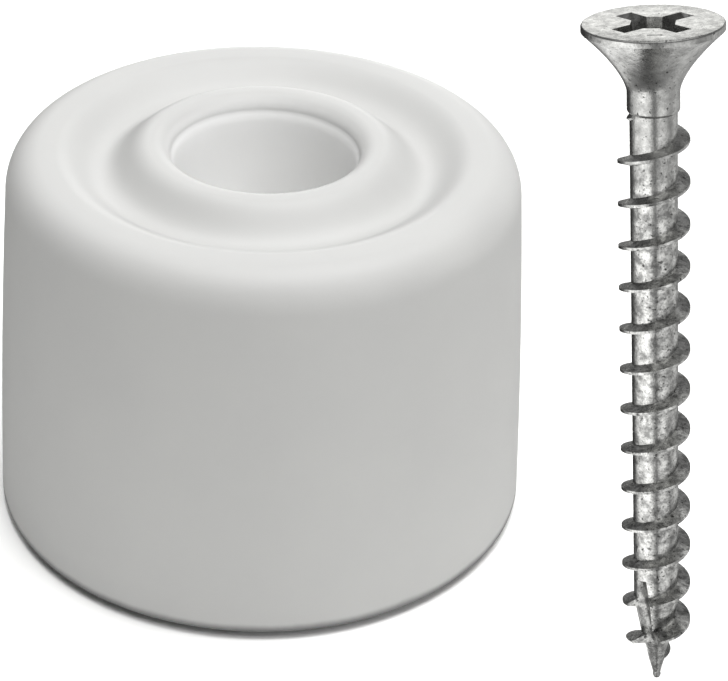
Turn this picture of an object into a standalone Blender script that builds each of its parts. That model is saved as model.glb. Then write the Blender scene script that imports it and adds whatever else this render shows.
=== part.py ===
"""Rubber door buffer with its seat washer and its countersunk wood screw.

The buffer stands on its base. The washer sits in a pocket at the bottom of the buffer's well, where
the screw's head bears on it when the buffer is fixed to a floor or a wall. The screw is loose: it is
held point down beside the buffer and lifts off.

Metres, +Z up. The origin lies in the base plane, below the middle of the box around all pieces.
"""

import math

import bmesh
import bpy
from mathutils import Matrix, Vector

MM = 0.001
CUT_MARGIN = 1.0 * MM

# Buffer: outer form
BASE_RADIUS = 15.0 * MM
BASE_EDGE_HEIGHT = 0.5 * MM
BASE_EDGE_SETBACK = 1.0 * MM
RIM_HEIGHT = 21.6 * MM
SIDE_TAPER = 1.06 * MM
SIDE_BULGE = 0.10 * MM
SHOULDER_WIDTH = 1.9 * MM
SHOULDER_DROP = 2.2 * MM
RIM_LAND = 0.8 * MM
BASE_RING_WIDTH = 3.1 * MM
BASE_RECESS = 0.6 * MM

# Buffer: ring groove and collar around the well
GROOVE_DEPTH = 1.1 * MM
COLLAR_RISE = 0.4 * MM
COLLAR_LAND = 0.3 * MM
LIP_WIDTH = 0.9 * MM
LIP_DROP = 0.8 * MM

# Buffer: well, washer pocket and screw hole
SEAT_HEIGHT = 8.5 * MM
FUNNEL_DEPTH = 6.0 * MM
FUNNEL_WIDENING = 1.2 * MM
HEAD_CLEARANCE = 0.5 * MM
HOLE_CLEARANCE = 0.75 * MM
WASHER_GAP = 0.3 * MM

# Washer
WASHER_THICKNESS = 1.0 * MM
WASHER_HOLD = 0.3 * MM
WASHER_HOLE_CLEARANCE = 0.4 * MM
WASHER_DISH = 0.5 * MM

# Screw: sizes along its own axis, measured from the tip
SCREW_LENGTH = 35.4 * MM
HEAD_RADIUS = 3.4 * MM
HEAD_EDGE = 0.32 * MM
HEAD_DEPTH = 3.3 * MM
HEAD_CURVE = 1.5
NECK_RADIUS = 1.27 * MM
NECK_LENGTH = 1.05 * MM
CORE_RADIUS = 1.15 * MM
THREAD_RADIUS = 1.75 * MM
THREAD_PITCH = 2.18 * MM
THREAD_ROOT_WIDTH = 0.62 * MM
THREAD_CREST_WIDTH = 0.14 * MM
THREAD_START = 1.2 * MM
THREAD_FULL = 2.8 * MM
THREAD_SINK = 0.12 * MM
POINT_LENGTH = 4.8 * MM
POINT_RADIUS = 0.16 * MM
LEAST_RADIUS = 0.02 * MM
THREAD_PHASE = math.radians(325.5)
THREAD_RUNOUT = 0.6
FLUTE_LENGTH = 4.0 * MM
FLUTE_BASE = 2.2 * MM
FLUTE_DEPTH = 0.36 * MM
FLUTE_SIDE = 1.6 * MM
FLUTE_AZIMUTH = math.radians(236.0)
FLUTE_SLANT = math.radians(9.0)

# Screw: cross recess in the head
RECESS_DEPTH = 2.0 * MM
RECESS_SPAN = 4.3 * MM
RECESS_SPAN_FLOOR = 2.3 * MM
RECESS_ARM_WIDTH = 0.95 * MM
RECESS_ARM_FLOOR = 0.65 * MM
RECESS_CORE = 2.1 * MM
RECESS_CORE_FLOOR = 1.6 * MM
RECESS_CORE_DEPTH = 1.8 * MM
RECESS_TURN = math.radians(35.5)

# Where the loose screw is held: its point stands to the right of the buffer and in front of it
TIP_SIDE_GAP = 6.9 * MM
TIP_FRONT_GAP = 1.75 * MM
LEAN_BACK = math.radians(10.3)
LEAN_IN = math.radians(5.3)

# Facets
BUFFER_SIDES = 56
WASHER_SIDES = 40
SCREW_SIDES = 28
THREAD_STEPS = 20
ARC_STEPS = 5
SIDE_STEPS = 5
WAVE_STEPS = 6

# Radii and heights that follow from the sizes above
SHOULDER_RADIUS = BASE_RADIUS - SIDE_TAPER
RIM_OUTER = SHOULDER_RADIUS - SHOULDER_WIDTH
RIM_INNER = RIM_OUTER - RIM_LAND
WELL_FLOOR_RADIUS = HEAD_RADIUS + HEAD_CLEARANCE
WELL_MOUTH_RADIUS = WELL_FLOOR_RADIUS + FUNNEL_WIDENING
COLLAR_INNER = WELL_MOUTH_RADIUS + LIP_WIDTH
COLLAR_OUTER = COLLAR_INNER + COLLAR_LAND
COLLAR_HEIGHT = RIM_HEIGHT + COLLAR_RISE
GROOVE_RADIUS = (RIM_INNER + COLLAR_OUTER) / 2
GROOVE_FLOOR = RIM_HEIGHT - GROOVE_DEPTH
FUNNEL_TOP = COLLAR_HEIGHT - LIP_DROP
WASHER_RADIUS = WELL_FLOOR_RADIUS + WASHER_HOLD
WASHER_HOLE_RADIUS = THREAD_RADIUS + WASHER_HOLE_CLEARANCE
POCKET_RADIUS = WASHER_RADIUS + WASHER_GAP
POCKET_FLOOR = SEAT_HEIGHT - WASHER_GAP
POCKET_TOP = SEAT_HEIGHT + WASHER_THICKNESS + WASHER_GAP
SCREW_HOLE_RADIUS = THREAD_RADIUS + HOLE_CLEARANCE
CORE_END = SCREW_LENGTH - HEAD_DEPTH - NECK_LENGTH
TIP_X = BASE_RADIUS + TIP_SIDE_GAP
TIP_Y = -BASE_RADIUS - TIP_FRONT_GAP


def clear_scene():
    for obj in list(bpy.data.objects):
        bpy.data.objects.remove(obj, do_unlink=True)


def material(name, colour, roughness, metallic):
    mat = bpy.data.materials.new(name)
    mat.use_nodes = True
    mat.diffuse_color = (*colour, 1.0)
    shader = mat.node_tree.nodes["Principled BSDF"]
    shader.inputs["Base Color"].default_value = (*colour, 1.0)
    shader.inputs["Roughness"].default_value = roughness
    shader.inputs["Metallic"].default_value = metallic
    return mat


def ellipse_arc(centre, radial, axial, start, end, steps):
    """Points (radius, height) on an elliptical arc, angles in degrees from the outward direction."""
    points = []
    for i in range(steps + 1):
        angle = math.radians(start + (end - start) * i / steps)
        points.append((centre[0] + radial * math.cos(angle), centre[1] + axial * math.sin(angle)))
    return points


def wave(start, end, steps):
    """Half a cosine wave from one level stretch to the next, without its first point."""
    points = []
    for i in range(1, steps + 1):
        share = i / steps
        rise = (1 - math.cos(math.pi * share)) / 2
        points.append((start[0] + (end[0] - start[0]) * share, start[1] + (end[1] - start[1]) * rise))
    return points


def turned(outline, sides):
    """Spin a closed (radius, height) outline once around Z."""
    bm = bmesh.new()
    ring = [bm.verts.new((radius, 0.0, height)) for radius, height in outline]
    edges = [bm.edges.new((ring[i], ring[i - 1])) for i in range(len(ring))]
    bmesh.ops.spin(bm, geom=ring + edges, cent=(0, 0, 0), axis=(0, 0, 1),
                   angle=math.tau, steps=sides, use_merge=True)
    bmesh.ops.recalc_face_normals(bm, faces=bm.faces)
    return bm


def turned_solid(outline, sides):
    """Spin an open (radius, height) outline that starts and ends near the axis, and cap its ends."""
    bm = bmesh.new()
    ring = [bm.verts.new((radius, 0.0, height)) for radius, height in outline]
    edges = [bm.edges.new((ring[i], ring[i + 1])) for i in range(len(ring) - 1)]
    bmesh.ops.spin(bm, geom=ring + edges, cent=(0, 0, 0), axis=(0, 0, 1),
                   angle=math.tau, steps=sides, use_merge=True)
    open_edges = [edge for edge in bm.edges if edge.is_boundary]
    bmesh.ops.holes_fill(bm, edges=open_edges, sides=0)
    bmesh.ops.recalc_face_normals(bm, faces=bm.faces)
    return bm


def new_object(name, bm, mat=None, parent=None, location=(0, 0, 0)):
    mesh = bpy.data.meshes.new(name)
    bm.to_mesh(mesh)
    bm.free()
    if mat:
        mesh.materials.append(mat)
    obj = bpy.data.objects.new(name, mesh)
    bpy.context.collection.objects.link(obj)
    obj.parent = parent
    obj.location = location
    return obj


def smooth(obj, angle):
    """Shade smooth, with edges sharper than the angle kept sharp."""
    obj.data.shade_smooth()
    obj.data.set_sharp_from_angle(angle=math.radians(angle))


def boolean(target, cutter, operation):
    """Join or cut with an exact Boolean; the other object stays as a hidden guide."""
    cutter.hide_render = True
    cutter.display_type = 'WIRE'
    cutter.parent = target
    modifier = target.modifiers.new(cutter.name, 'BOOLEAN')
    modifier.operation = operation
    modifier.solver = 'EXACT'
    modifier.object = cutter


def buffer_side():
    """The outer side from the base edge to the shoulder: a slight taper with a slight belly."""
    points = []
    bottom = BASE_EDGE_HEIGHT
    top = RIM_HEIGHT - SHOULDER_DROP
    for i in range(1, SIDE_STEPS):
        share = i / SIDE_STEPS
        radius = BASE_RADIUS - SIDE_TAPER * share + 4 * SIDE_BULGE * share * (1 - share)
        points.append((radius, bottom + (top - bottom) * share))
    return points


def buffer_outline():
    """The closed outline that is turned into the buffer, from the screw hole outwards and over."""
    base_outer = BASE_RADIUS - BASE_EDGE_SETBACK
    base_inner = base_outer - BASE_RING_WIDTH
    outline = [(SCREW_HOLE_RADIUS, BASE_RECESS),
               (base_inner - BASE_RECESS, BASE_RECESS),
               (base_inner, 0.0),
               (base_outer, 0.0),
               (BASE_RADIUS, BASE_EDGE_HEIGHT)]
    outline += buffer_side()
    outline += ellipse_arc((RIM_OUTER, RIM_HEIGHT - SHOULDER_DROP), SHOULDER_WIDTH, SHOULDER_DROP,
                           0, 90, ARC_STEPS)
    outline.append((RIM_INNER, RIM_HEIGHT))
    outline += wave((RIM_INNER, RIM_HEIGHT), (GROOVE_RADIUS, GROOVE_FLOOR), WAVE_STEPS)
    outline += wave((GROOVE_RADIUS, GROOVE_FLOOR), (COLLAR_OUTER, COLLAR_HEIGHT), WAVE_STEPS)
    outline += ellipse_arc((COLLAR_INNER, FUNNEL_TOP), LIP_WIDTH, LIP_DROP,
                           90, 180, ARC_STEPS - 1)
    outline += wave((WELL_MOUTH_RADIUS, FUNNEL_TOP), (WELL_FLOOR_RADIUS, FUNNEL_TOP - FUNNEL_DEPTH),
                    WAVE_STEPS)
    outline += [(WELL_FLOOR_RADIUS, POCKET_TOP + WASHER_HOLD),
                (POCKET_RADIUS, POCKET_TOP),
                (POCKET_RADIUS, POCKET_FLOOR),
                (SCREW_HOLE_RADIUS, POCKET_FLOOR)]
    return outline


def make_buffer(parent):
    rubber = material("white_rubber", (0.62, 0.62, 0.62), 0.55, 0.0)
    obj = new_object("rubber_buffer", turned(buffer_outline(), BUFFER_SIDES), rubber, parent)
    smooth(obj, 35)
    return obj


def make_washer(parent):
    """A flat washer whose hole has a small dish on top for the countersunk head."""
    steel = material("washer_steel", (0.55, 0.55, 0.54), 0.35, 1.0)
    top = WASHER_THICKNESS
    outline = [(WASHER_HOLE_RADIUS, 0.0),
               (WASHER_RADIUS, 0.0),
               (WASHER_RADIUS, top),
               (WASHER_HOLE_RADIUS + WASHER_DISH, top),
               (WASHER_HOLE_RADIUS, top - WASHER_DISH)]
    obj = new_object("seat_washer", turned(outline, WASHER_SIDES), steel, parent,
                     (0, 0, SEAT_HEIGHT))
    smooth(obj, 35)
    return obj


def core_radius(height):
    """The screw's core: a cone at the point, then parallel."""
    share = min(max(height / POINT_LENGTH, 0.0), 1.0)
    return POINT_RADIUS + (CORE_RADIUS - POINT_RADIUS) * share


def crest_radius(height):
    """The thread's crest: it grows out of the point and dies out below the neck."""
    grown = min(max((height - THREAD_START) / (THREAD_FULL - THREAD_START), 0.0), 1.0)
    low = core_radius(height)
    left = min(max((CORE_END - height) / (THREAD_PITCH * THREAD_RUNOUT), 0.0), 1.0)
    return low + (THREAD_RADIUS - low) * min(grown, left)


def screw_outline():
    """From the point up the core, the neck and the trumpet of the head to the middle of its top."""
    outline = [(POINT_RADIUS, 0.0), (CORE_RADIUS, POINT_LENGTH)]
    neck_start = CORE_END + (NECK_RADIUS - CORE_RADIUS)
    outline += [(CORE_RADIUS, CORE_END), (NECK_RADIUS, neck_start)]
    trumpet = SCREW_LENGTH - HEAD_DEPTH
    rise = HEAD_DEPTH - HEAD_EDGE
    steps = 2 * ARC_STEPS
    for i in range(steps + 1):
        share = i / steps
        radius = NECK_RADIUS + (HEAD_RADIUS - NECK_RADIUS) * share ** HEAD_CURVE
        outline.append((radius, trumpet + rise * share))
    outline.append((HEAD_RADIUS, SCREW_LENGTH))
    return outline


def thread_ridge():
    """One right-hand ridge: its section is spun up the screw, then set to the core and crest radii."""
    bm = bmesh.new()
    turns = (CORE_END - THREAD_START) / THREAD_PITCH
    steps = round(turns * THREAD_STEPS)
    root_mark, crest_mark = 1.0, 2.0
    section = []
    for mark, width in ((root_mark, -THREAD_ROOT_WIDTH), (crest_mark, -THREAD_CREST_WIDTH),
                        (crest_mark, THREAD_CREST_WIDTH), (root_mark, THREAD_ROOT_WIDTH)):
        section.append(bm.verts.new((mark, 0.0, width / 2)))
    face = bm.faces.new(section)
    rise = (CORE_END - THREAD_START) / steps
    bmesh.ops.spin(bm, geom=[face] + section + list(face.edges), cent=(0, 0, 0), axis=(0, 0, 1),
                   dvec=(0, 0, rise), angle=math.tau * turns, steps=steps)
    bmesh.ops.translate(bm, verts=bm.verts, vec=(0, 0, THREAD_START))
    bmesh.ops.rotate(bm, verts=bm.verts, cent=(0, 0, 0), matrix=Matrix.Rotation(THREAD_PHASE, 3, 'Z'))
    for vert in bm.verts:
        flat = Vector((vert.co.x, vert.co.y, 0.0))
        on_crest = flat.length > (root_mark + crest_mark) / 2
        height = vert.co.z
        radius = crest_radius(height) if on_crest else core_radius(height) - THREAD_SINK
        flat = flat.normalized() * max(radius, LEAST_RADIUS)
        vert.co = (flat.x, flat.y, height)
    bmesh.ops.recalc_face_normals(bm, faces=bm.faces)
    return bm


def tapered_box(width, depth, width_floor, depth_floor, height):
    """A box whose top is flush with z = 0 plus a cutting margin, narrower at its floor."""
    bm = bmesh.new()
    bmesh.ops.create_cube(bm, size=1.0)
    grow = 1 + CUT_MARGIN / height
    for vert in bm.verts:
        if vert.co.z > 0:
            x = width_floor + (width - width_floor) * grow
            y = depth_floor + (depth - depth_floor) * grow
            vert.co = (math.copysign(x / 2, vert.co.x), math.copysign(y / 2, vert.co.y), CUT_MARGIN)
        else:
            vert.co = (math.copysign(width_floor / 2, vert.co.x),
                       math.copysign(depth_floor / 2, vert.co.y), -height)
    return bm


def cut_recess(screw):
    """Two crossing arms and a square middle, turned half a right angle to them."""
    quarter = math.pi / 2
    for index in range(2):
        arm = new_object(f"recess_arm_{index}",
                         tapered_box(RECESS_SPAN, RECESS_ARM_WIDTH, RECESS_SPAN_FLOOR,
                                     RECESS_ARM_FLOOR, RECESS_DEPTH))
        arm.location = (0, 0, SCREW_LENGTH)
        arm.rotation_euler = (0, 0, RECESS_TURN + index * quarter)
        boolean(screw, arm, 'DIFFERENCE')
    core = new_object("recess_core",
                      tapered_box(RECESS_CORE, RECESS_CORE, RECESS_CORE_FLOOR,
                                  RECESS_CORE_FLOOR, RECESS_CORE_DEPTH))
    core.location = (0, 0, SCREW_LENGTH)
    core.rotation_euler = (0, 0, RECESS_TURN + quarter / 2)
    boolean(screw, core, 'DIFFERENCE')


def cut_flute(screw):
    """A right-angled cutting notch along one side of the point, slanted to the axis."""
    bm = bmesh.new()
    bmesh.ops.create_cube(bm, size=1.0)
    bmesh.ops.scale(bm, verts=bm.verts, vec=(FLUTE_SIDE, FLUTE_SIDE, FLUTE_LENGTH))
    bmesh.ops.rotate(bm, verts=bm.verts, cent=(0, 0, 0), matrix=Matrix.Rotation(math.pi / 4, 3, 'Z'))
    bmesh.ops.rotate(bm, verts=bm.verts, cent=(0, 0, 0), matrix=Matrix.Rotation(FLUTE_SLANT, 3, 'X'))
    reach = CORE_RADIUS - FLUTE_DEPTH + FLUTE_SIDE / math.sqrt(2)
    bmesh.ops.translate(bm, verts=bm.verts, vec=(reach, 0, FLUTE_BASE + FLUTE_LENGTH / 2))
    bmesh.ops.rotate(bm, verts=bm.verts, cent=(0, 0, 0), matrix=Matrix.Rotation(FLUTE_AZIMUTH, 3, 'Z'))
    boolean(screw, new_object("point_flute", bm), 'DIFFERENCE')


def screw_axis():
    """The screw's own axis, from its point to its head, as it leans beside the buffer."""
    lean = Matrix.Rotation(-LEAN_BACK, 3, 'X') @ Matrix.Rotation(-LEAN_IN, 3, 'Y')
    return lean @ Vector((0, 0, 1))


def make_screw(parent):
    zinc = material("zinc_plated_steel", (0.66, 0.66, 0.64), 0.3, 1.0)
    tip_height = POINT_RADIUS * math.sqrt(1 - screw_axis().z ** 2)
    obj = new_object("fixing_screw", turned_solid(screw_outline(), SCREW_SIDES), zinc, parent,
                     (TIP_X, TIP_Y, tip_height))
    obj.rotation_mode = 'ZYX'
    obj.rotation_euler = (-LEAN_BACK, -LEAN_IN, 0)
    boolean(obj, new_object("thread_ridge", thread_ridge()), 'UNION')
    cut_flute(obj)
    cut_recess(obj)
    smooth(obj, 30)
    return obj


def middle_of_box():
    """How far the middle of the box around all pieces lies from the buffer's axis, along X and Y."""
    axis = screw_axis()
    across_x = math.sqrt(1 - axis.x ** 2)
    across_y = math.sqrt(1 - axis.y ** 2)
    right = max(TIP_X + SCREW_LENGTH * axis.x + HEAD_RADIUS * across_x,
                TIP_X + THREAD_FULL * axis.x + THREAD_RADIUS * across_x)
    front = min(TIP_Y + SCREW_LENGTH * axis.y - HEAD_RADIUS * across_y,
                TIP_Y + THREAD_FULL * axis.y - THREAD_RADIUS * across_y)
    return (right - BASE_RADIUS) / 2, (front + BASE_RADIUS) / 2


def main():
    clear_scene()
    middle_x, middle_y = middle_of_box()
    axis = bpy.data.objects.new("buffer_axis", None)
    bpy.context.collection.objects.link(axis)
    axis.location = (-middle_x, -middle_y, 0.0)
    make_buffer(axis)
    make_washer(axis)
    make_screw(axis)


main()
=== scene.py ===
# %% [markdown]
# # A rubber door buffer and its screw
# The real thing is a bag item from an ironmonger: one white rubber moulding, a steel washer pushed into
# the bottom of its well, and a countersunk wood screw. The sizes and places are settled already in a
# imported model, so this lesson only makes the surfaces that the eye sees and gives them their finishes.
# Everything is in metres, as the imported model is, and a small factor turns millimetres into metres.

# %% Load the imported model
import math

import bmesh
import bpy
from mathutils import Matrix, Vector


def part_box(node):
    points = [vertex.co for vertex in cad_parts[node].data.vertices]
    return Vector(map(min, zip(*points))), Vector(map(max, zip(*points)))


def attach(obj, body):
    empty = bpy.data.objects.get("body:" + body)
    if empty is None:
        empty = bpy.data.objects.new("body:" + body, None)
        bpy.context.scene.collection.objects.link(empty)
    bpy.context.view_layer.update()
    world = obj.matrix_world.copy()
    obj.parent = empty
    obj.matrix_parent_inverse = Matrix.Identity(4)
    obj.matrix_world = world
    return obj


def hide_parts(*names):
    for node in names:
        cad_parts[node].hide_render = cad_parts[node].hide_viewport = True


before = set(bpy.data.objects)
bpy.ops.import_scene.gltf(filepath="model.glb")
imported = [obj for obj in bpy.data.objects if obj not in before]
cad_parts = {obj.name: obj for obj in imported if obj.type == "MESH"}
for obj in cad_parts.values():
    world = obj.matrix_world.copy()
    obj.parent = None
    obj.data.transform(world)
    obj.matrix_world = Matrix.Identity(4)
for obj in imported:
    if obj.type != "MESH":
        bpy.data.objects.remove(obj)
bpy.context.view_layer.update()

MM = 0.001

# %% [markdown]
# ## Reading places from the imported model
# The buffer is turned round an upright axis, so the middle of its box gives that axis. The screw leans, so
# its box has to be read through its sizes: the rim of the head touches the box on the left, at the back
# and at the top, and a circle's reach along an axis is its radius times the sine of the angle between them.

# %% Axes of the two pieces
buffer_low, buffer_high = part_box("rubber_buffer")
washer_low, washer_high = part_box("seat_washer")
screw_low, screw_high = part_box("fixing_screw")
AXIS = Vector(((buffer_low.x + buffer_high.x) / 2, (buffer_low.y + buffer_high.y) / 2, 0.0))
BASE_RADIUS = (buffer_high.x - buffer_low.x) / 2
TOP = buffer_high.z

SCREW_LENGTH = 35.4 * MM
HEAD_RADIUS = 3.4 * MM
LEAN_BACK = math.radians(10.3)
LEAN_IN = math.radians(5.3)
SCREW_TURN = Matrix.Rotation(-LEAN_BACK, 4, 'X') @ Matrix.Rotation(-LEAN_IN, 4, 'Y')
screw_axis = SCREW_TURN @ Vector((0, 0, 1))
rim_reach = Vector([HEAD_RADIUS * math.sqrt(1 - a * a) for a in screw_axis])
head_middle = Vector((screw_low.x + rim_reach.x, screw_high.y - rim_reach.y, screw_high.z - rim_reach.z))
TIP = head_middle - screw_axis * SCREW_LENGTH
SCREW_PLACE = Matrix.Translation(TIP) @ SCREW_TURN
print("buffer axis in mm:", AXIS / MM, "base radius:", BASE_RADIUS / MM, "top:", TOP / MM)
print("screw tip in mm:", TIP / MM, "axis:", screw_axis)

# %% [markdown]
# ## Camera
# The view looks down on the pair from about the height of a raised hand, from close by, with a long lens.
# It could aim at the pieces with a constraint, but a place and two angles say the same and stay put.

# %% Place the camera
CAMERA_FROM_AXIS = Vector((5.73, -109.25, 80.36)) * MM
CAMERA_PITCH = math.radians(32.96)
CAMERA_ROLL = math.radians(2.4)

camera_data = bpy.data.cameras.new("camera")
camera_data.lens = 113.74
camera_data.sensor_width = 36.0
camera_data.clip_start = 0.005
camera = bpy.data.objects.new("camera", camera_data)
bpy.context.scene.collection.objects.link(camera)
camera.matrix_world = (Matrix.Translation(AXIS + CAMERA_FROM_AXIS)
                       @ Matrix.Rotation(math.pi / 2 - CAMERA_PITCH, 4, 'X')
                       @ Matrix.Rotation(CAMERA_ROLL, 4, 'Z'))
bpy.context.scene.camera = camera

# %% [markdown]
# ## Small helpers
# A turned part is an outline spun round an axis, so most pieces here start as a short list of points,
# with arcs and curves worked out from their sizes. The outline is spun once, the doubled seam is merged,
# and the faces are turned to point out.

# %% Outline and spin helpers
def arc(centre, across, up, start, end, steps):
    """Points (radius, height) along a stretch of an ellipse, angles in degrees."""
    angles = [math.radians(start + (end - start) * i / steps) for i in range(steps + 1)]
    return [(centre[0] + across * math.cos(a), centre[1] + up * math.sin(a)) for a in angles]


def wave(start, end, steps):
    """Half a cosine wave between two level stretches, without its first point."""
    shares = [i / steps for i in range(1, steps + 1)]
    return [(start[0] + (end[0] - start[0]) * s,
             start[1] + (end[1] - start[1]) * (1 - math.cos(math.pi * s)) / 2) for s in shares]


def spun(outline, sides, closed=True):
    """A bmesh turned from an outline of (radius, height) points."""
    bm = bmesh.new()
    points = [bm.verts.new((r, 0.0, z)) for r, z in outline]
    pairs = list(zip(points, points[1:] + points[:1])) if closed else list(zip(points, points[1:]))
    edges = [bm.edges.new(pair) for pair in pairs]
    bmesh.ops.spin(bm, geom=points + edges, cent=(0, 0, 0), axis=(0, 0, 1),
                   angle=math.tau, steps=sides, use_merge=True)
    bmesh.ops.remove_doubles(bm, verts=bm.verts, dist=0.0005 * MM)
    if not closed:
        rims = [e for e in bm.edges if e.is_boundary]
        bmesh.ops.holes_fill(bm, edges=rims, sides=0)
    bmesh.ops.recalc_face_normals(bm, faces=bm.faces)
    return bm


def as_object(bm, name):
    """A mesh object at the origin from a bmesh."""
    mesh = bpy.data.meshes.new(name)
    bm.to_mesh(mesh)
    bm.free()
    obj = bpy.data.objects.new(name, mesh)
    bpy.context.scene.collection.objects.link(obj)
    return obj


def dress(obj, material, body, node, angle):
    """Shade, paint and hand over a finished piece."""
    obj.data.shade_smooth()
    obj.data.set_sharp_from_angle(angle=math.radians(angle))
    obj.data.materials.clear()
    obj.data.materials.append(material)
    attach(obj, body)
    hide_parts(node)
    print(obj.name, len(obj.data.polygons), "faces")


# %% [markdown]
# ## Materials: one function to add a node
# Every finish below is a small graph that ends in a Principled shader. The colours are written as sRGB
# hex, as a paint chart gives them, and one function turns them to the linear values that Blender uses.
# Noise sizes are written in millimetres and turned to the texture's scale, which is cycles per metre.

# %% Colour, scale and node helpers
def linear(code):
    """An sRGB hex colour as linear red, green, blue and full alpha."""
    values = [int(code[i:i + 2], 16) / 255 for i in (0, 2, 4)]
    return (*[v / 12.92 if v <= 0.04045 else ((v + 0.055) / 1.055) ** 2.4 for v in values], 1.0)


def per_mm(size):
    """The texture scale whose grains are about this many millimetres across."""
    return 1.0 / (size * MM)


def new_material(name):
    material = bpy.data.materials.new(name)
    material.use_nodes = True
    return material, material.node_tree, material.node_tree.nodes["Principled BSDF"]


def add(tree, kind, settings=None, **inputs):
    """Add a node, set its properties, and give each named input a value or a link."""
    node = tree.nodes.new(kind)
    for key, value in (settings or {}).items():
        setattr(node, key, value)
    for key, value in inputs.items():
        socket = node.inputs[int(key[1:])] if key[0] == "_" else node.inputs[key.replace("_", " ")]
        if isinstance(value, bpy.types.NodeSocket):
            tree.links.new(value, socket)
        else:
            socket.default_value = value
    return node


# %% [markdown]
# ## White rubber
# The buffer is compression moulded in white rubber with a satin mould. The eye gets a soft, even sheen
# without sharp reflections, a very fine grain from the mould's surface, and a faint unevenness in the
# white where filler and dust sit. The grain is a bump; the unevenness is a slow noise between two whites.
# Inside the well the white is painted lighter, as painted light that lifts the shade in the well, and round
# the foot a thin grey line is painted shade, standing for the dark contact shadow where it meets the floor.

# %% Rubber material
WELL_LIGHT_WITHIN = 4.9 * MM
WELL_LIGHT_EDGE = 5.5 * MM
FOOT_SHADE_FULL = 0.45 * MM
FOOT_SHADE_TOP = (0.85 * MM, 1.15 * MM)

rubber, tree, shader = new_material("white_rubber_moulded")
coords = add(tree, 'ShaderNodeTexCoord').outputs["Object"]
cloud = add(tree, 'ShaderNodeTexNoise', Vector=coords, Scale=per_mm(6.0), Detail=4.0, Roughness=0.6)
tone = add(tree, 'ShaderNodeMix', {"data_type": 'RGBA'}, Factor=cloud.outputs["Fac"],
           _6=linear("BCBCBB"), _7=linear("C2C2C0"))

# Painted light: inside the well's mouth the colour turns a lighter white, lifting the shade that falls in the
# well.
from_axis = add(tree, 'ShaderNodeVectorMath', {"operation": 'SUBTRACT'}, _0=coords, _1=AXIS)
flat = add(tree, 'ShaderNodeVectorMath', {"operation": 'MULTIPLY'}, _0=from_axis.outputs["Vector"],
           _1=(1.0, 1.0, 0.0))
radius = add(tree, 'ShaderNodeVectorMath', {"operation": 'LENGTH'}, _0=flat.outputs["Vector"])
inside = add(tree, 'ShaderNodeMapRange', {"interpolation_type": 'SMOOTHSTEP'},
             Value=radius.outputs["Value"], _1=WELL_LIGHT_EDGE, _2=WELL_LIGHT_WITHIN)
well_lit = add(tree, 'ShaderNodeMix', {"data_type": 'RGBA'}, Factor=inside.outputs["Result"],
            _6=tone.outputs[2], _7=linear("E8E8E7"))

# Painted shade: a thin grey band round the foot, its top edge wobbled by noise, stands for the contact shadow
# at the base.
upright = add(tree, 'ShaderNodeSeparateXYZ', Vector=coords).outputs["Z"]
foot_shade_noise = add(tree, 'ShaderNodeTexNoise', Vector=coords, Scale=per_mm(2.0), Detail=3.0, Roughness=0.6)
foot_shade_reach = add(tree, 'ShaderNodeMapRange', Value=foot_shade_noise.outputs["Fac"], _3=FOOT_SHADE_TOP[0], _4=FOOT_SHADE_TOP[1])
foot = add(tree, 'ShaderNodeMapRange', {"interpolation_type": 'SMOOTHSTEP'},
           Value=upright, _1=foot_shade_reach.outputs["Result"], _2=FOOT_SHADE_FULL)
foot_shaded = add(tree, 'ShaderNodeMix', {"data_type": 'RGBA'}, Factor=foot.outputs["Result"],
           _6=well_lit.outputs[2], _7=linear("707070"))
tree.links.new(foot_shaded.outputs[2], shader.inputs["Base Color"])

grain = add(tree, 'ShaderNodeTexNoise', Vector=coords, Scale=per_mm(0.18), Detail=3.0, Roughness=0.55)
satin = add(tree, 'ShaderNodeMapRange', Value=grain.outputs["Fac"], _3=0.46, _4=0.58)
tree.links.new(satin.outputs["Result"], shader.inputs["Roughness"])
bump = add(tree, 'ShaderNodeBump', Height=grain.outputs["Fac"], Strength=0.10, Distance=0.02 * MM)
tree.links.new(bump.outputs["Normal"], shader.inputs["Normal"])
shader.inputs["IOR"].default_value = 1.52
shader.inputs["Specular IOR Level"].default_value = 0.35
print("rubber nodes:", len(tree.nodes))

# %% [markdown]
# ## The buffer
# The moulding is round throughout, so one outline holds its whole shape: the tapered side, the rounded
# shoulder, the rim, the shallow ring groove, the collar and the well with the washer's pocket. A finer
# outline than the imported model's gives clean highlights along the rim and the collar.

# %% Buffer sizes
BASE_EDGE = 0.5 * MM
BASE_SETBACK = 1.0 * MM
BASE_ROUND = 0.06 * MM
SIDE_TAPER = 1.06 * MM
SIDE_BELLY = 0.10 * MM
SHOULDER = (1.9 * MM, 2.2 * MM)
RIM_LAND = 0.8 * MM
COLLAR_RISE = 0.4 * MM
COLLAR_LAND = 0.3 * MM
GROOVE_DEPTH = 1.1 * MM
LIP = (0.9 * MM, 0.8 * MM)
WELL_MOUTH = 5.1 * MM
WELL_THROAT = 3.9 * MM
THROAT_DEPTH = 6.0 * MM
POCKET_GAP = 0.3 * MM
SCREW_HOLE = 2.5 * MM
BASE_RECESS = 0.6 * MM
BASE_RING = 3.1 * MM

RIM_HEIGHT = TOP - COLLAR_RISE
washer_radius = (washer_high.x - washer_low.x) / 2

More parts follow.
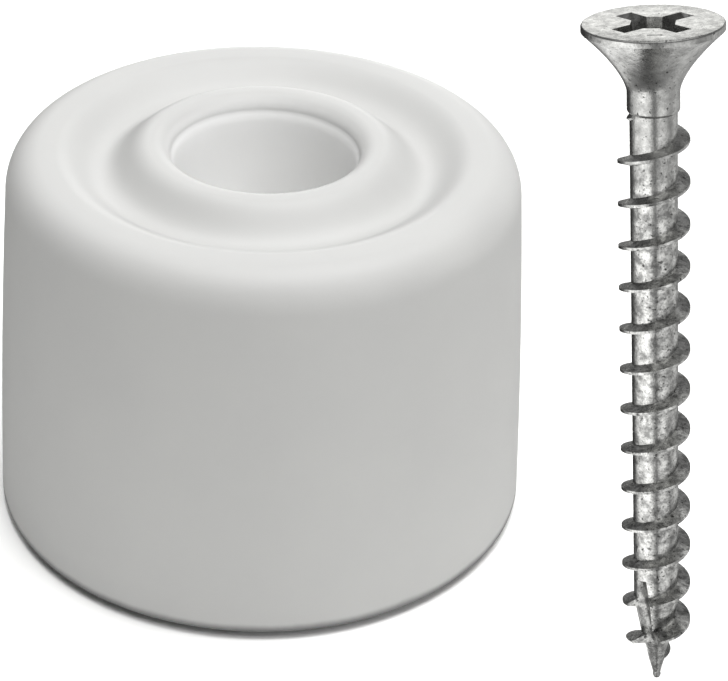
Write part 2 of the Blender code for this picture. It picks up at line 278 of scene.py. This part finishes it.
# %% Buffer outline and mesh
def buffer_outline():
    ring_outer = BASE_RADIUS - BASE_SETBACK
    ring_inner = ring_outer - BASE_RING
    outline = [(SCREW_HOLE, BASE_RECESS), (ring_inner - BASE_RECESS, BASE_RECESS), (ring_inner, 0.0)]
    outline += [(ring_outer, 0.0)]
    outline += arc((BASE_RADIUS - BASE_ROUND, BASE_EDGE), BASE_ROUND, BASE_ROUND, -60, 0, 4)
    top = RIM_HEIGHT - SHOULDER[1]
    for i in range(1, 24):
        s = i / 24
        outline.append((BASE_RADIUS - SIDE_TAPER * s + 4 * SIDE_BELLY * s * (1 - s),
                        BASE_EDGE + (top - BASE_EDGE) * s))
    rim_outer = BASE_RADIUS - SIDE_TAPER - SHOULDER[0]
    rim_inner = rim_outer - RIM_LAND
    outline += arc((rim_outer, top), *SHOULDER, 0, 90, 20)
    collar_inner = WELL_MOUTH + LIP[0]
    collar_outer = collar_inner + COLLAR_LAND
    groove = ((rim_inner + collar_outer) / 2, RIM_HEIGHT - GROOVE_DEPTH)
    outline += [(rim_inner, RIM_HEIGHT)]
    outline += wave((rim_inner, RIM_HEIGHT), groove, 20)
    outline += wave(groove, (collar_outer, TOP), 20)
    outline += arc((collar_inner, TOP - LIP[1]), *LIP, 90, 180, 14)
    pocket = washer_radius + POCKET_GAP
    floor = washer_low.z - POCKET_GAP
    ceiling = washer_high.z + POCKET_GAP
    outline += wave((WELL_MOUTH, TOP - LIP[1]), (WELL_THROAT, TOP - LIP[1] - THROAT_DEPTH), 10)
    outline += [(WELL_THROAT, ceiling + POCKET_GAP), (pocket, ceiling), (pocket, floor),
                (SCREW_HOLE, floor)]
    return outline


bm = spun(buffer_outline(), 144)
bmesh.ops.translate(bm, verts=bm.verts, vec=AXIS)
buffer = as_object(bm, "buffer_moulding")
dress(buffer, rubber, "buffer", "rubber_buffer", 40)

# %% [markdown]
# ## The washer
# It is stamped from strip: one edge is rounded by the die and the other carries a fine burr. Only its
# bright ring shows at the bottom of the well, with a dish where the head bears.

# %% Washer mesh
WASHER_HOLE = 2.15 * MM
WASHER_DISH = 0.5 * MM
DIE_EDGE = 0.12 * MM


def washer_outline():
    thick = washer_high.z - washer_low.z
    outer = washer_radius - DIE_EDGE
    outline = [(WASHER_HOLE, 0.0)]
    outline += arc((outer, DIE_EDGE), DIE_EDGE, DIE_EDGE, -90, 0, 4)
    outline += arc((outer, thick - DIE_EDGE), DIE_EDGE, DIE_EDGE, 0, 90, 4)
    outline += [(WASHER_HOLE + WASHER_DISH, thick), (WASHER_HOLE, thick - WASHER_DISH)]
    return outline


bm = spun(washer_outline(), 96)
bmesh.ops.translate(bm, verts=bm.verts, vec=AXIS + Vector((0, 0, washer_low.z)))
washer = as_object(bm, "washer_ring")

# %% [markdown]
# ## Bright zinc plate
# Both steel pieces are zinc plated. The plate is a thin bright metal coat: a neutral mid grey with broad
# soft highlights, and small dull pits and stains from barrel plating. Slow noise sets the stains and the
# roughness, because a stain is duller than the metal round it, and fine noise sets the pits and the bump.
# Rolling the thread and tumbling wear the shank most, so the marks fade towards the screw's head.

# %% Zinc material
CALM_RISE = 3.0 * MM
SCREW_WORN_TOP = 27.0 * MM


def zinc_material(name, bright, dull, dark, worn_top):
    """Worn plate up to the height worn_top, and smoother plate from a little above it."""
    material, tree, shader = new_material(name)
    coords = add(tree, 'ShaderNodeTexCoord').outputs["Object"]
    stain = add(tree, 'ShaderNodeTexNoise', Vector=coords, Scale=per_mm(0.5), Detail=6.0, Roughness=0.75)
    pits = add(tree, 'ShaderNodeTexNoise', Vector=coords, Scale=per_mm(0.17), Detail=3.0, Roughness=0.6)
    upright = add(tree, 'ShaderNodeSeparateXYZ', Vector=coords).outputs["Z"]
    calm = add(tree, 'ShaderNodeMapRange', Value=upright,
               _1=worn_top, _2=worn_top + CALM_RISE).outputs["Result"]
    spread = add(tree, 'ShaderNodeMapRange', Value=calm, _3=0.10, _4=0.24).outputs["Result"]
    lowest = add(tree, 'ShaderNodeMath', {"operation": 'SUBTRACT'}, _0=0.5, _1=spread)
    highest = add(tree, 'ShaderNodeMath', {"operation": 'ADD'}, _0=0.5, _1=spread)
    stain_mask = add(tree, 'ShaderNodeMapRange', Value=stain.outputs["Fac"],
                     _1=lowest.outputs["Value"], _2=highest.outputs["Value"])
    pit_mark = add(tree, 'ShaderNodeMapRange', Value=calm, _3=0.58, _4=0.63)
    pit_mask = add(tree, 'ShaderNodeMapRange', Value=pits.outputs["Fac"],
                   _1=pit_mark.outputs["Result"], _2=0.69)
    tone = add(tree, 'ShaderNodeMix', {"data_type": 'RGBA'}, Factor=stain_mask.outputs["Result"],
               _6=linear(dull), _7=linear(bright))
    specks = add(tree, 'ShaderNodeMix', {"data_type": 'RGBA'}, Factor=pit_mask.outputs["Result"],
                 _6=tone.outputs[2], _7=linear(dark))
    tree.links.new(specks.outputs[2], shader.inputs["Base Color"])
    rough = add(tree, 'ShaderNodeMapRange', Value=stain.outputs["Fac"], _1=0.35, _2=0.65, _3=0.30, _4=0.19)
    tree.links.new(rough.outputs["Result"], shader.inputs["Roughness"])
    bump = add(tree, 'ShaderNodeBump', Height=pits.outputs["Fac"], Strength=0.35, Distance=0.03 * MM)
    tree.links.new(bump.outputs["Normal"], shader.inputs["Normal"])
    shader.inputs["Metallic"].default_value = 1.0
    return material


washer_zinc = zinc_material("zinc_plated_strip", "D2D2D0", "A8A8A6", "6C6C6A", 0.0)
dress(washer, washer_zinc, "buffer", "seat_washer", 30)

# %% [markdown]
# ## The screw's blank
# A wood screw starts as wire: the head is struck from it, and the thread is rolled. So the blank comes
# first here too, as a turned outline from the point up the core, over the small step to the neck, and out
# along the trumpet to the head's thin edge.

# %% Screw sizes, along its own axis from the tip
HEAD_EDGE = 0.32 * MM
HEAD_DEPTH = 3.3 * MM
HEAD_CURVE = 1.5
HEAD_ROUND = 0.1 * MM
NECK_RADIUS = 1.27 * MM
NECK_LENGTH = 1.05 * MM
CORE_RADIUS = 1.15 * MM
CORE_END = SCREW_LENGTH - HEAD_DEPTH - NECK_LENGTH
POINT_PROFILE = ((0.0, 0.08), (0.06, 0.16), (0.2, 0.21), (0.36, 0.19), (0.5, 0.23), (1.1, 0.39),
                 (1.9, 0.55), (2.4, 0.7), (3.1, 0.84), (3.9, 0.98), (4.8, 1.15))


def core_radius(height):
    """The core's radius at a height, along the worn, slightly hollow point."""
    marks = [(h * MM, r * MM) for h, r in POINT_PROFILE]
    if height >= marks[-1][0]:
        return CORE_RADIUS
    for (h0, r0), (h1, r1) in zip(marks, marks[1:]):
        if height < h1:
            return r0 + (r1 - r0) * (max(height, 0.0) - h0) / (h1 - h0)
    return CORE_RADIUS


def blank_outline():
    outline = [(r * MM, h * MM) for h, r in POINT_PROFILE]
    step = NECK_RADIUS - CORE_RADIUS
    outline += [(CORE_RADIUS, CORE_END), (NECK_RADIUS - step * 0.2, CORE_END + step * 0.8),
                (NECK_RADIUS, CORE_END + step * 1.4)]
    trumpet = SCREW_LENGTH - HEAD_DEPTH
    for i in range(31):
        s = i / 30
        outline.append((NECK_RADIUS + (HEAD_RADIUS - NECK_RADIUS) * s ** HEAD_CURVE,
                        trumpet + (HEAD_DEPTH - HEAD_EDGE) * s))
    outline += arc((HEAD_RADIUS - HEAD_ROUND, SCREW_LENGTH - HEAD_ROUND), HEAD_ROUND, HEAD_ROUND, 0, 90, 4)
    return outline


blank = as_object(spun(blank_outline(), 64, closed=False), "wood_screw")

# %% [markdown]
# ## The thread
# Spinning a section while it rises gives a ridge along a helix: the operator takes the rise of each step.
# The section is spun on marks at two radii, and each point is then set to the core's or the crest's radius
# at its height, so the ridge can grow out of the point and die out below the neck. An exact Boolean joins
# it to the core, because only a true join gives one closed surface where the two cross.

# %% Thread sizes and ridge
THREAD_RADIUS = 1.75 * MM
THREAD_PITCH = 2.18 * MM
ROOT_WIDTH = 0.62 * MM
CREST_WIDTH = 0.14 * MM
THREAD_START = 1.2 * MM
THREAD_FULL = 2.8 * MM
THREAD_PHASE = math.radians(325.5)
THREAD_RUNOUT = 0.6
THREAD_SINK = 0.12 * MM
THREAD_STEPS = 40


def crest_radius(height):
    grown = min(max((height - THREAD_START) / (THREAD_FULL - THREAD_START), 0.0), 1.0)
    left = min(max((CORE_END - height) / (THREAD_PITCH * THREAD_RUNOUT), 0.0), 1.0)
    low = core_radius(height)
    return low + (THREAD_RADIUS - low) * min(grown, left)


def thread_ridge():
    bm = bmesh.new()
    length = CORE_END - THREAD_START
    turns = length / THREAD_PITCH
    steps = round(turns * THREAD_STEPS)
    marks = ((1.0, -ROOT_WIDTH), (2.0, -CREST_WIDTH), (2.0, CREST_WIDTH), (1.0, ROOT_WIDTH))
    section = [bm.verts.new((mark, 0.0, width / 2)) for mark, width in marks]
    face = bm.faces.new(section)
    bmesh.ops.spin(bm, geom=[face] + section + list(face.edges), cent=(0, 0, 0), axis=(0, 0, 1),
                   dvec=(0, 0, length / steps), angle=math.tau * turns, steps=steps)
    turn = Matrix.Translation((0, 0, THREAD_START)) @ Matrix.Rotation(THREAD_PHASE, 4, 'Z')
    bmesh.ops.transform(bm, verts=bm.verts, matrix=turn)
    for vert in bm.verts:
        flat = Vector((vert.co.x, vert.co.y, 0.0))
        z = vert.co.z
        radius = crest_radius(z) if flat.length > 1.5 else core_radius(z) - THREAD_SINK
        flat = flat.normalized() * max(radius, 0.02 * MM)
        vert.co = (flat.x, flat.y, z)
    bmesh.ops.recalc_face_normals(bm, faces=bm.faces)
    return bm


def boolean(target, cutter, operation):
    """Join or cut with an exact Boolean, apply it and remove the cutter."""
    modifier = target.modifiers.new("cut", 'BOOLEAN')
    modifier.operation = operation
    modifier.solver = 'EXACT'
    modifier.object = cutter
    graph = bpy.context.evaluated_depsgraph_get()
    mesh = bpy.data.meshes.new_from_object(target.evaluated_get(graph))
    target.modifiers.clear()
    target.data = mesh
    bpy.data.objects.remove(cutter)


boolean(blank, as_object(thread_ridge(), "ridge"), 'UNION')
print("screw with thread:", len(blank.data.polygons), "faces")

# %% [markdown]
# ## Cross recess
# The driver's recess is punched: two tapered arms that cross, and a square middle turned half a right angle
# to them. Beside it the die has left one short, shallow dash.

# %% Recess and notch sizes
RECESS_DEPTH = 2.0 * MM
RECESS_SPAN = (4.3 * MM, 2.3 * MM)
RECESS_ARM = (0.95 * MM, 0.65 * MM)
RECESS_CORE = (2.1 * MM, 1.6 * MM)
RECESS_CORE_DEPTH = 1.8 * MM
RECESS_TURN = math.radians(35.5)
DASH_LENGTH = 0.7 * MM
DASH_WIDTH = 0.3 * MM
DASH_DEPTH = 0.1 * MM
DASH_OUT = 2.25 * MM
DASH_TURN = math.radians(266.0)
CUT_MARGIN = 1.0 * MM


def tapered_cutter(long, wide, depth, turn, out=0.0):
    """A box from above the head's top down to a depth; long and wide are (at the top, at the floor)."""
    bm = bmesh.new()
    bmesh.ops.create_cube(bm, size=1.0)
    grow = 1 + CUT_MARGIN / depth
    for vert in bm.verts:
        share = grow if vert.co.z > 0 else 0.0
        x = long[1] + (long[0] - long[1]) * share
        y = wide[1] + (wide[0] - wide[1]) * share
        z = CUT_MARGIN if vert.co.z > 0 else -depth
        vert.co = (math.copysign(x / 2, vert.co.x) + out, math.copysign(y / 2, vert.co.y), z)
    place = Matrix.Translation((0, 0, SCREW_LENGTH)) @ Matrix.Rotation(turn, 4, 'Z')
    bmesh.ops.transform(bm, verts=bm.verts, matrix=place)
    return as_object(bm, "cutter")


quarter = math.pi / 2
for index in range(2):
    boolean(blank, tapered_cutter(RECESS_SPAN, RECESS_ARM, RECESS_DEPTH,
                                  RECESS_TURN + index * quarter), 'DIFFERENCE')
boolean(blank, tapered_cutter(RECESS_CORE, RECESS_CORE, RECESS_CORE_DEPTH,
                              RECESS_TURN + quarter / 2), 'DIFFERENCE')
boolean(blank, tapered_cutter((DASH_WIDTH, DASH_WIDTH * 0.3), (DASH_LENGTH, DASH_LENGTH * 0.8), DASH_DEPTH,
                              DASH_TURN, DASH_OUT), 'DIFFERENCE')

# %% [markdown]
# ## Cutting notch
# One side of the point is milled away in a narrow right-angled notch, which clears the hole as the screw
# bites. It is cut with a square bar laid along the point, edge first and a little aslant.

# %% Notch
FLUTE_LENGTH = 4.0 * MM
FLUTE_BASE = 2.2 * MM
FLUTE_DEPTH = 0.36 * MM
FLUTE_SIDE = 1.6 * MM
FLUTE_AZIMUTH = math.radians(236.0)
FLUTE_SLANT = math.radians(9.0)

bm = bmesh.new()
bmesh.ops.create_cube(bm, size=1.0)
bmesh.ops.scale(bm, verts=bm.verts, vec=(FLUTE_SIDE, FLUTE_SIDE, FLUTE_LENGTH))
flute_reach = CORE_RADIUS - FLUTE_DEPTH + FLUTE_SIDE / math.sqrt(2)
bmesh.ops.transform(bm, verts=bm.verts, matrix=(
    Matrix.Rotation(FLUTE_AZIMUTH, 4, 'Z')
    @ Matrix.Translation((flute_reach, 0, FLUTE_BASE + FLUTE_LENGTH / 2))
    @ Matrix.Rotation(FLUTE_SLANT, 4, 'X')
    @ Matrix.Rotation(math.pi / 4, 4, 'Z')))
boolean(blank, as_object(bm, "flute"), 'DIFFERENCE')
blank.data.transform(SCREW_PLACE)

screw_zinc = zinc_material("bright_zinc_plate", "ECECEA", "929291", "454544", SCREW_WORN_TOP)
dress(blank, screw_zinc, "screw", "fixing_screw", 30)

# %% [markdown]
# ## Floor and light
# The pair stands on pale paper under soft studio light. White rubber needs light from nearly everywhere
# above, or its crown looks hollow, and a little less from the left, or it looks flat. So a ring of small
# softboxes hangs on a half globe round the pair, and each has its own power. Azimuth 0 is on the right and
# 90 at the back. They are linked to the rubber and the floor; the steel gets its light from the room.
# One more small lamp overhead is for the paper alone, so that it goes white right up to the foot. Neither
# the floor nor the rubber shows to mirror rays, so both stay out of the picture that the steel mirrors.

# %% Floor
FLOOR_RADIUS = 160.0 * MM
FLOOR_DROP = 0.1 * MM

bm = bmesh.new()
bmesh.ops.create_circle(bm, cap_ends=True, radius=FLOOR_RADIUS, segments=96)
floor = as_object(bm, "studio_floor")
floor.location = (0, 0, -FLOOR_DROP)
paper, tree, shader = new_material("pale_paper_floor")
shader.inputs["Base Color"].default_value = linear("FAFAF9")
shader.inputs["Roughness"].default_value = 0.9
shader.inputs["Specular IOR Level"].default_value = 0.1
floor.data.materials.append(paper)

# %% Lights
LIGHT_DISTANCE = 500.0 * MM
SOFTBOX_SIDE = 220.0 * MM
LAMP_SIDE = 60.0 * MM
LAMP_POWER = 0.45
SOFTBOXES = (
    ("overhead", 0, 90, 0.80),
    ("high_right", 0, 68, 1.12),
    ("high_front", 270, 68, 0.76),
    ("high_back", 90, 68, 0.30),
    ("back_left", 135, 40, 0.40),
    ("low_back", 90, 12, 0.36),
    ("low_back_right", 45, 12, 0.20),
    ("low_right", 0, 12, 0.08),
    ("front_right", 315, 40, 0.45),
)


def lit_group(name, pieces):
    """A collection that lights can be linked to, so that they light only these pieces."""
    group = bpy.data.collections.new(name)
    for piece in pieces:
        group.objects.link(piece)
    return group


def softbox(name, azimuth, elevation, power, group):
    """A square area light on the half globe, turned to face the middle of the floor."""
    data = bpy.data.lights.new(name, 'AREA')
    data.shape = 'SQUARE'
    data.size = SOFTBOX_SIDE
    data.energy = power
    obj = bpy.data.objects.new(name, data)
    bpy.context.scene.collection.objects.link(obj)
    round_, up = math.radians(azimuth), math.radians(elevation)
    away = Vector((math.cos(round_) * math.cos(up), math.sin(round_) * math.cos(up), math.sin(up)))
    obj.location = away * LIGHT_DISTANCE
    obj.rotation_euler = (-away).to_track_quat('-Z', 'Y').to_euler()
    obj.visible_camera = False
    obj.light_linking.receiver_collection = group
    obj.light_linking.blocker_collection = group
    return obj


rubber_side = lit_group("rubber_side", (floor, buffer))
for setting in SOFTBOXES:
    softbox(*setting, rubber_side)

floor_lamp = softbox("floor_lamp", 0, 90, LAMP_POWER, rubber_side)
floor_lamp.data.size = LAMP_SIDE
floor_lamp.light_linking.receiver_collection = lit_group("floor_only", (floor,))

floor.visible_glossy = False
buffer.visible_glossy = False
print("softboxes:", len(SOFTBOXES))

# %% [markdown]
# ## What the steel mirrors
# Bright plate is mostly a picture of its surroundings, so a plain white room would turn the screw to chalk.
# Here the room that mirror rays see is painted by direction: a ring round the horizon that is bright on the
# front left, has a dark gap straight in front and is middling grey on the right; a dark ceiling with a
# skylight in its middle; and below, dark in front and bright at the back. Straight behind hangs one bright
# card, which lights the head's face. Rays straight from the camera see a white wall, and the soft light on
# the rubber comes from the softboxes.

# %% World
RING = ((-180, 0.15), (-158, 0.04), (-128, 0.08), (-108, 0.55), (-90, 1.15), (-70, 1.20), (-45, 1.62),
        (-27, 1.30), (-13, 0.70), (-3, 0.20), (5, 0.20), (16, 0.78), (32, 0.95), (48, 0.85), (64, 0.48),
        (82, 0.44), (106, 0.68), (132, 0.45), (160, 0.40), (180, 0.15))
BELOW = ((-180, 1.60), (-150, 1.05), (-120, 0.40), (-60, 0.16), (0, 0.16), (50, 0.26), (90, 0.45),
         (135, 0.72), (180, 1.60))
CEILING = (0.20, 0.20, 0.20, 1.0)
SKYLIGHT = (0.75, 0.75, 0.74, 1.0)
CARD = (1.3, 1.3, 1.27, 1.0)
CARD_TOWARDS = (0.06, 0.99, 0.1)


def ramp(tree, factor, stops):
    """A colour ramp over azimuth; stops are (degrees, brightness)."""
    node = add(tree, 'ShaderNodeValToRGB', Fac=factor)
    marks = node.color_ramp.elements
    for degrees, level in stops[1:-1]:
        marks.new((degrees + 180) / 360)
    for mark, (degrees, level) in zip(marks, stops):
        mark.position = (degrees + 180) / 360
        mark.color = (level, level, level * 0.99, 1.0)
    return node.outputs["Color"]


def between(tree, value, low, high):
    """A smooth step of a value between two marks."""
    node = add(tree, 'ShaderNodeMapRange', {"interpolation_type": 'SMOOTHSTEP'}, Value=value, _1=low, _2=high)
    return node.outputs["Result"]


def mixed(tree, factor, first, second):
    node = add(tree, 'ShaderNodeMix', {"data_type": 'RGBA'}, Factor=factor, _6=first, _7=second)
    return node.outputs[2]


world = bpy.data.worlds.new("studio")
world.use_nodes = True
tree = world.node_tree
direction = add(tree, 'ShaderNodeTexCoord').outputs["Generated"]
parts = add(tree, 'ShaderNodeSeparateXYZ', Vector=direction)
front = add(tree, 'ShaderNodeMath', {"operation": 'MULTIPLY'}, _0=parts.outputs["Y"], _1=-1.0)
angle = add(tree, 'ShaderNodeMath', {"operation": 'ARCTAN2'},
            _0=parts.outputs["X"], _1=front.outputs["Value"])
turn = add(tree, 'ShaderNodeMapRange', Value=angle.outputs["Value"], _1=-math.pi, _2=math.pi)
height = parts.outputs["Z"]
ring = ramp(tree, turn.outputs["Result"], RING)
below = ramp(tree, turn.outputs["Result"], BELOW)
mirrored = mixed(tree, between(tree, height, -0.62, -0.82), ring, below)
mirrored = mixed(tree, between(tree, height, 0.02, 0.35), mirrored, CEILING)
mirrored = mixed(tree, between(tree, height, 0.70, 0.90), mirrored, SKYLIGHT)
card_middle = Vector(CARD_TOWARDS).normalized()
card = add(tree, 'ShaderNodeVectorMath', {"operation": 'DOT_PRODUCT'}, _0=direction, _1=card_middle)
card_edge = between(tree, card.outputs["Value"], math.cos(math.radians(15)), math.cos(math.radians(8)))
mirrored = mixed(tree, card_edge, mirrored, CARD)

ray = add(tree, 'ShaderNodeLightPath')
room = tree.nodes["Background"]
room.inputs["Color"].default_value = linear("F2F2F2")
room.inputs["Strength"].default_value = 0.04
mirror = add(tree, 'ShaderNodeBackground', Color=mirrored, Strength=1.0)
wall = add(tree, 'ShaderNodeBackground', Color=linear("FFFFFF"), Strength=1.0)
shown = add(tree, 'ShaderNodeMixShader', _0=ray.outputs["Is Glossy Ray"],
            _1=room.outputs["Background"], _2=mirror.outputs["Background"])
shown = add(tree, 'ShaderNodeMixShader', _0=ray.outputs["Is Camera Ray"],
            _1=shown.outputs["Shader"], _2=wall.outputs["Background"])
tree.links.new(shown.outputs["Shader"], tree.nodes["World Output"].inputs["Surface"])
bpy.context.scene.world = world
bpy.context.scene.view_settings.view_transform = 'Standard'
